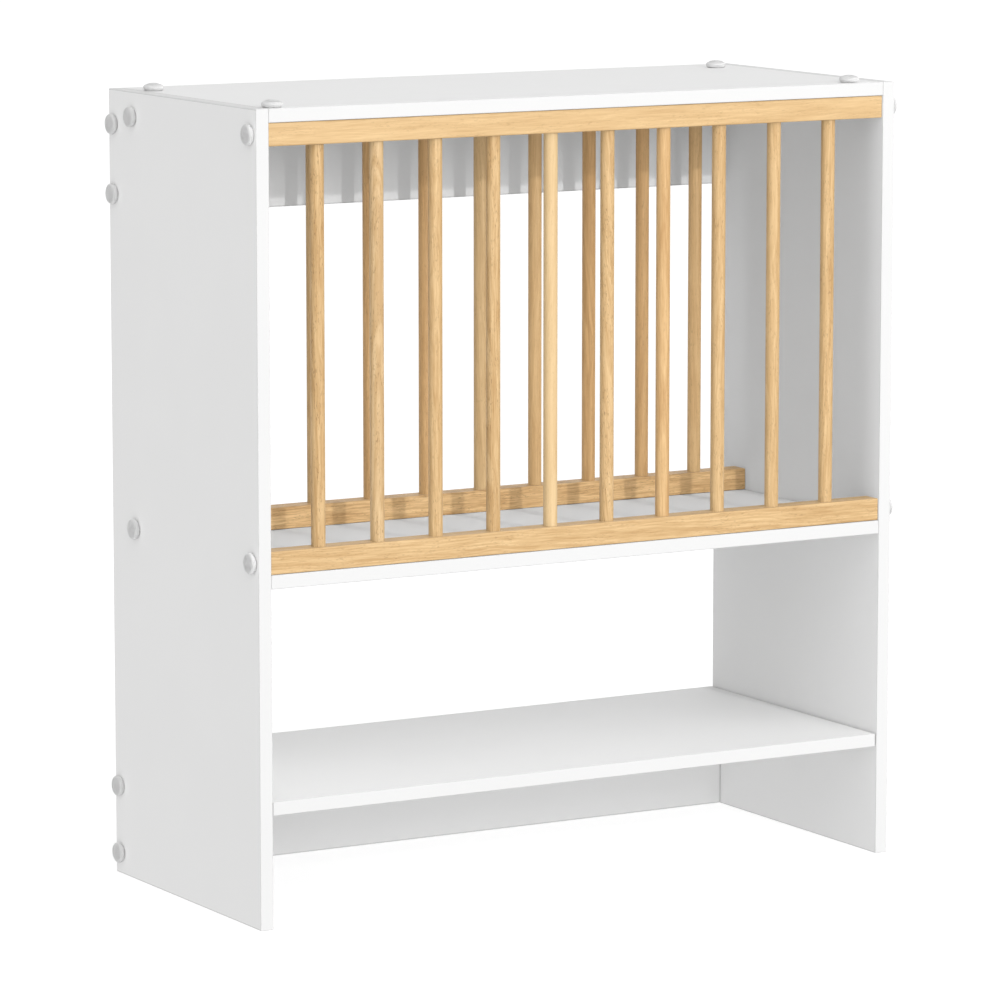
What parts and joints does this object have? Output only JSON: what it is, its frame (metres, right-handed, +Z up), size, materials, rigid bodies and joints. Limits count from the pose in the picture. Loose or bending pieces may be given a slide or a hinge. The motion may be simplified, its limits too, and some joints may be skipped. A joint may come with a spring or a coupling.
{
  "type": "plate rack",
  "caption": "Free-standing plate rack: a white board case with wooden dowel racks between square rails above a shelf, an open bay and a lower shelf.",
  "frame": {"origin": "on the floor, under the middle of the rack", "axes": "+Z up, +X to the right as seen from the front, -Y towards the open front"},
  "size_m": [0.664, 0.282, 0.717],
  "materials": {
    "white_board": "white melamine-faced board with matching edge band, satin",
    "rubberwood": "clear-varnished pale rubberwood, satin",
    "cap_plastic": "glossy whitish plastic",
    "zinc_steel": "bright zinc plate"
  },
  "bodies": {
    "root": {"left_side_panel": "white_board", "right_side_panel": "white_board", "top_panel": "white_board", "middle_shelf": "white_board", "lower_shelf": "white_board", "rear_top_board": "white_board", "rear_bottom_board": "white_board", "front_top_rail": "rubberwood", "front_bottom_rail": "rubberwood", "rear_top_rail": "rubberwood", "rear_bottom_rail": "rubberwood", "front_dowel_01": "rubberwood", "front_dowel_02": "rubberwood", "front_dowel_03": "rubberwood", "front_dowel_04": "rubberwood", "front_dowel_05": "rubberwood", "front_dowel_06": "rubberwood", "front_dowel_07": "rubberwood", "front_dowel_08": "rubberwood", "front_dowel_09": "rubberwood", "front_dowel_10": "rubberwood", "rear_dowel_01": "rubberwood", "rear_dowel_02": "rubberwood", "rear_dowel_03": "rubberwood", "rear_dowel_04": "rubberwood", "rear_dowel_05": "rubberwood", "rear_dowel_06": "rubberwood", "rear_dowel_07": "rubberwood", "rear_dowel_08": "rubberwood", "rear_dowel_09": "rubberwood", "rear_dowel_10": "rubberwood", "left_cap_collars": "cap_plastic", "right_cap_collars": "cap_plastic", "top_cap_collars": "cap_plastic", "left_screw_caps": "cap_plastic", "right_screw_caps": "cap_plastic", "top_screw_caps": "cap_plastic", "left_side_screws": "zinc_steel", "right_side_screws": "zinc_steel", "top_screws": "zinc_steel", "middle_shelf_screws": "zinc_steel", "lower_shelf_pins": "zinc_steel"}
  },
  "joints": []
}
